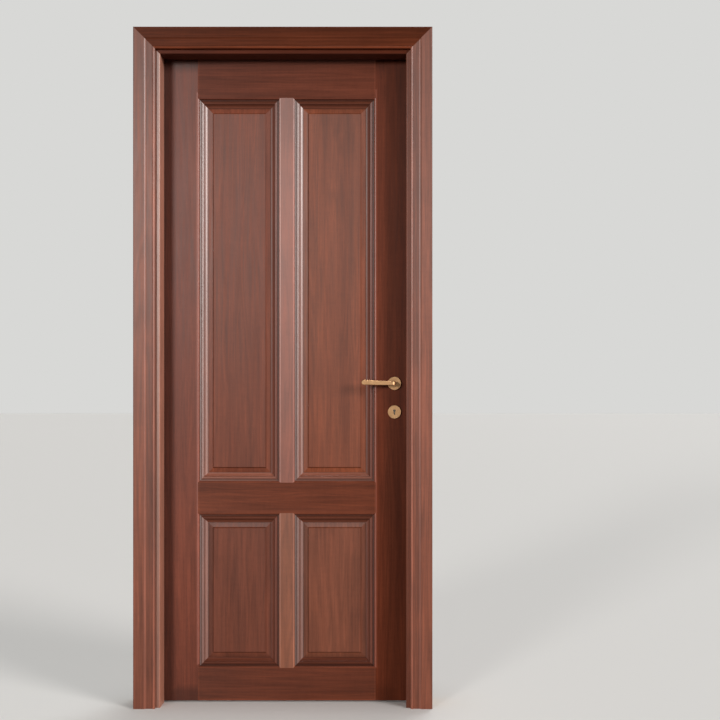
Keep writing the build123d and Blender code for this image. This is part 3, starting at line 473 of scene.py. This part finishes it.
def screw_tree():
    """A geometry tree that sets an upright row of screw heads about each point of a piece."""
    tree = bpy.data.node_groups.new("screw_rows", "GeometryNodeTree")
    sizes = (
        ("Plates", "Geometry", None),
        ("Screws per plate", "Int", 4),
        ("Spacing", "Float", 0.02),
        ("Stagger", "Float", 0.0),
        ("Facing", "Vector", (1, 0, 0)),
        ("Head radius", "Float", 0.004),
        ("Head rise", "Float", 0.0009),
        ("Slot width", "Float", 0.0009),
        ("Slot depth", "Float", 0.0007),
        ("Cross recess", "Bool", True),
        ("Seed", "Int", 1),
        ("Finish", "Material", None),
    )
    for name, kind, value in sizes:
        socket = tree.interface.new_socket(name, in_out="INPUT", socket_type=f"NodeSocket{kind}")
        if value is not None:
            socket.default_value = value
    tree.interface.new_socket("Screws", in_out="OUTPUT", socket_type="NodeSocketGeometry")
    size = add(tree, "NodeGroupInput").outputs

    # The head: a low dome over a flat round base, its recess cut by one bar or by two that cross.
    cone = {"Vertices": 28, "Side Segments": 5, "Radius Top": 0.0001}
    cone |= {"Radius Bottom": size["Head radius"], "Depth": size["Head rise"]}
    cone = add(tree, "GeometryNodeMeshCone", cone, fill_type="NGON")
    place = add(tree, "ShaderNodeSeparateXYZ", {0: add(tree, "GeometryNodeInputPosition")}).outputs
    height = add(tree, "ShaderNodeMath", {0: place["Z"], 1: size["Head rise"]}, operation="DIVIDE")
    height = add(tree, "ShaderNodeMath", {0: height}, operation="SQRT")
    height = add(tree, "ShaderNodeMath", {0: height, 1: size["Head rise"]}, operation="MULTIPLY")
    domed = add(tree, "ShaderNodeCombineXYZ", {0: place["X"], 1: place["Y"], 2: height})
    dome = add(tree, "GeometryNodeSetPosition", {"Geometry": cone, "Position": domed})
    length = add(tree, "ShaderNodeMath", {0: size["Head radius"], 1: 1.25}, operation="MULTIPLY")
    depth = add(tree, "ShaderNodeMath", {0: size["Slot depth"], 1: 2.0}, operation="MULTIPLY")
    bar = add(tree, "ShaderNodeCombineXYZ", {0: length, 1: size["Slot width"], 2: depth})
    bar = add(tree, "GeometryNodeMeshCube", {"Size": bar})
    crossbar = add(tree, "GeometryNodeTransform", {"Geometry": bar, "Rotation": (0, 0, math.pi / 2)})
    crossbar = {"Switch": size["Cross recess"], "True": crossbar}
    crossbar = add(tree, "GeometryNodeSwitch", crossbar, input_type="GEOMETRY")
    cut = add(tree, "GeometryNodeMeshBoolean", {"Mesh 1": dome}, operation="DIFFERENCE", solver="EXACT")
    raised = add(tree, "ShaderNodeCombineXYZ", {2: size["Head rise"]})
    for tool in (bar, crossbar):
        set_up = add(tree, "GeometryNodeTransform", {"Geometry": tool, "Translation": raised})
        tree.links.new(set_up.outputs[0], cut.inputs["Mesh 2"])

    # The rows: a line of places about each plate's middle, every second one moved across.
    step = add(tree, "ShaderNodeCombineXYZ", {2: size["Spacing"]})
    line = add(tree, "GeometryNodeMeshLine", {"Count": size["Screws per plate"], "Offset": step})
    gaps = add(tree, "ShaderNodeMath", {0: size["Screws per plate"], 1: 1.0}, operation="SUBTRACT")
    length = add(tree, "ShaderNodeMath", {0: gaps, 1: size["Spacing"]}, operation="MULTIPLY")
    down = add(tree, "ShaderNodeMath", {0: length, 1: -0.5}, operation="MULTIPLY")
    odd = add(tree, "ShaderNodeMath", {0: add(tree, "GeometryNodeInputIndex"), 1: 2.0}, operation="MODULO")
    side = add(tree, "ShaderNodeMath", {0: odd, 1: 0.5}, operation="SUBTRACT")
    side = add(tree, "ShaderNodeMath", {0: side, 1: size["Stagger"]}, operation="MULTIPLY")
    moved = add(tree, "ShaderNodeCombineXYZ", {1: side, 2: down})
    row = add(tree, "GeometryNodeSetPosition", {"Geometry": line, "Offset": moved})
    rows = add(tree, "GeometryNodeInstanceOnPoints", {"Points": size["Plates"], "Instance": row})
    rows = add(tree, "GeometryNodeRealizeInstances", {0: rows})

    # Each head faces out of its plate and stops at an angle of its own.
    angle = {0: (0, 0, -math.pi), 1: (0, 0, math.pi), "Seed": size["Seed"]}
    angle = add(tree, "FunctionNodeRandomValue", angle, data_type="FLOAT_VECTOR")
    angle = add(tree, "FunctionNodeEulerToRotation", {0: angle})
    outward = add(tree, "FunctionNodeAlignRotationToVector", {"Vector": size["Facing"]}, axis="Z")
    turn = add(tree, "FunctionNodeRotateRotation", {0: outward, 1: angle}, rotation_space="LOCAL")
    heads = {"Points": rows, "Instance": cut, "Rotation": turn}
    heads = add(tree, "GeometryNodeInstanceOnPoints", heads)
    heads = add(tree, "GeometryNodeRealizeInstances", {0: heads})
    heads = add(tree, "GeometryNodeSetMaterial", {"Geometry": heads, "Material": size["Finish"]})
    add(tree, "NodeGroupOutput", {0: heads})
    return tree


screw_rows = screw_tree()


def screws(name, plates, slot, body, **sizes):
    """Screws in rows about the middles of plates, as one piece. An underscore in a size's name is a space."""
    piece = mesh_piece(name, plates, [], sizes["Finish"])
    rows = piece.modifiers.new("screws", "NODES")
    rows.node_group = screw_rows
    for item in screw_rows.interface.items_tree:
        key = item.name.replace(" ", "_")
        if item.in_out == "INPUT" and key in sizes:
            rows[item.identifier] = sizes[key]
    made = piece.evaluated_get(bpy.context.evaluated_depsgraph_get())
    mesh = bpy.data.meshes.new_from_object(made)
    piece.modifiers.clear()
    piece.data = mesh
    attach(piece, body)


# The plates' faces are the lining's rebate and the leaf's edge, 3 mm apart when the leaf is closed. The heads
# stand 0.9 mm or less above them, so two that meet don't touch.
rebate_face, leaf_face = 0.411, 0.408
rightward, leftward = (1.0, 0, 0), (-1.0, 0, 0)
hinge_middle = 0.0225
hinge_heights = (0.25, 1.0605, 1.871)
on_hinges = {"Screws_per_plate": 4, "Spacing": 0.023, "Stagger": 0.013, "Finish": polished_brass}
frame_side = [(-rebate_face, hinge_middle, z) for z in hinge_heights]
leaf_side = [(-leaf_face, hinge_middle, z) for z in hinge_heights]
screws("hinge_screws_frame", frame_side, "polished_brass", "frame", Facing=rightward, Seed=3, **on_hinges)
screws("hinge_screws_leaf", leaf_side, "polished_brass", "leaf", Facing=leftward, Seed=5, **on_hinges)

lock_middle = 0.0145
from_end = 0.011  # from either end of a plate to the middle of its screw
on_lock = {"Screws_per_plate": 2, "Head_radius": 0.0036, "Head_rise": 0.0007, "Slot_width": 0.0008}
on_lock |= {"Slot_depth": 0.00055, "Finish": polished_brass}
low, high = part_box("lock_forend")
middle = [(leaf_face, lock_middle, (low.z + high.z) / 2)]
on_lock["Spacing"] = high.z - low.z - 2 * from_end
screws("forend_screws", middle, "polished_brass", "leaf", Facing=rightward, Seed=2, **on_lock)
low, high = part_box("strike_plate")
middle = [(rebate_face, lock_middle, (low.z + high.z) / 2)]
on_lock["Spacing"] = high.z - low.z - 2 * from_end
screws("strike_plate_screws", middle, "polished_brass", "frame", Facing=leftward, Seed=4, **on_lock)


# The lock's inside, its bolts, the spindle and the hinge pins: pressed and turned steel, nickel-plated.
# The plating has a soft white shine, faintly clouded by its bath, about 11 mm from cloud to cloud.
nickel, tree = new_material("nickel_plated_steel")
places = add(tree, "ShaderNodeTexCoord").outputs["Object"]
clouds = add(tree, "ShaderNodeTexNoise", {"Vector": places, "Scale": 90, "Detail": 4})
rough = add(tree, "ShaderNodeMapRange", {"Value": clouds, "To Min": 0.22, "To Max": 0.38})
metal = {"Base Color": linear("C6C2BA"), "Metallic": 1.0, "Roughness": rough}
surface = add(tree, "ShaderNodeBsdfPrincipled", metal)
add(tree, "ShaderNodeOutputMaterial", {"Surface": surface})
dress(nickel, "lock_case", "latch_bolt", "deadbolt", "follower", "spindle", "hinge_pins")


# The keyhole's shutter: a drop-shaped plate of thin steel inside the lock case, hung from a rivet above.
# It keeps dust and light out, and the key pushes it aside, so the keyhole looks dark from the front.
shutter_thickness = 0.0006
shutter_back = 0.0195
shutter_eye = (0.358, 0.951)  # its middle, behind the keyhole's
shutter_radius = 0.0105
rivet_drop = 0.006  # how far the narrow end stands above the round one
narrow_radius = shutter_radius / 2
narrow_from = 0.8  # how high up the round end the narrow one starts, as a share of its radius
shutter_sides = 32
outline = []
for step in range(shutter_sides):
    turn = 2 * math.pi * step / shutter_sides
    is_narrow = math.sin(turn) > narrow_from
    reach, lift = (narrow_radius, rivet_drop) if is_narrow else (shutter_radius, 0.0)
    outline.append((shutter_eye[0] + reach * math.cos(turn), shutter_eye[1] + reach * math.sin(turn) + lift))
front_ring = [(x, shutter_back - shutter_thickness, z) for x, z in outline]
back_ring = [(x, shutter_back, z) for x, z in outline]
shutter_faces = [range(shutter_sides), range(2 * shutter_sides - 1, shutter_sides - 1, -1)]
for step in range(shutter_sides):
    after = (step + 1) % shutter_sides
    shutter_faces.append((step, step + shutter_sides, after + shutter_sides, after))
shutter = mesh_piece("keyhole_shutter", front_ring + back_ring, shutter_faces, nickel)
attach(shutter, "leaf")


# The grub screws: small slotted steel screws, driven up into each lever's stem to hold it on its spindle.
# Nickel-plated like the spindle, in a hole of their own, so that only the end shows.
stem_middles = [(0.358, -0.0245, 1.03835), (0.358, 0.0535, 1.03835)]  # on the underside of each lever's stem
grub_screws = {"Screws_per_plate": 1, "Facing": (0, 0, -1.0), "Head_radius": 0.0021, "Head_rise": 0.0005}
grub_screws |= {"Slot_width": 0.0006, "Slot_depth": 0.0004, "Cross_recess": False, "Finish": nickel}
screws("lever_grub_screws", stem_middles, "plated_steel", "handle", Seed=6, **grub_screws)
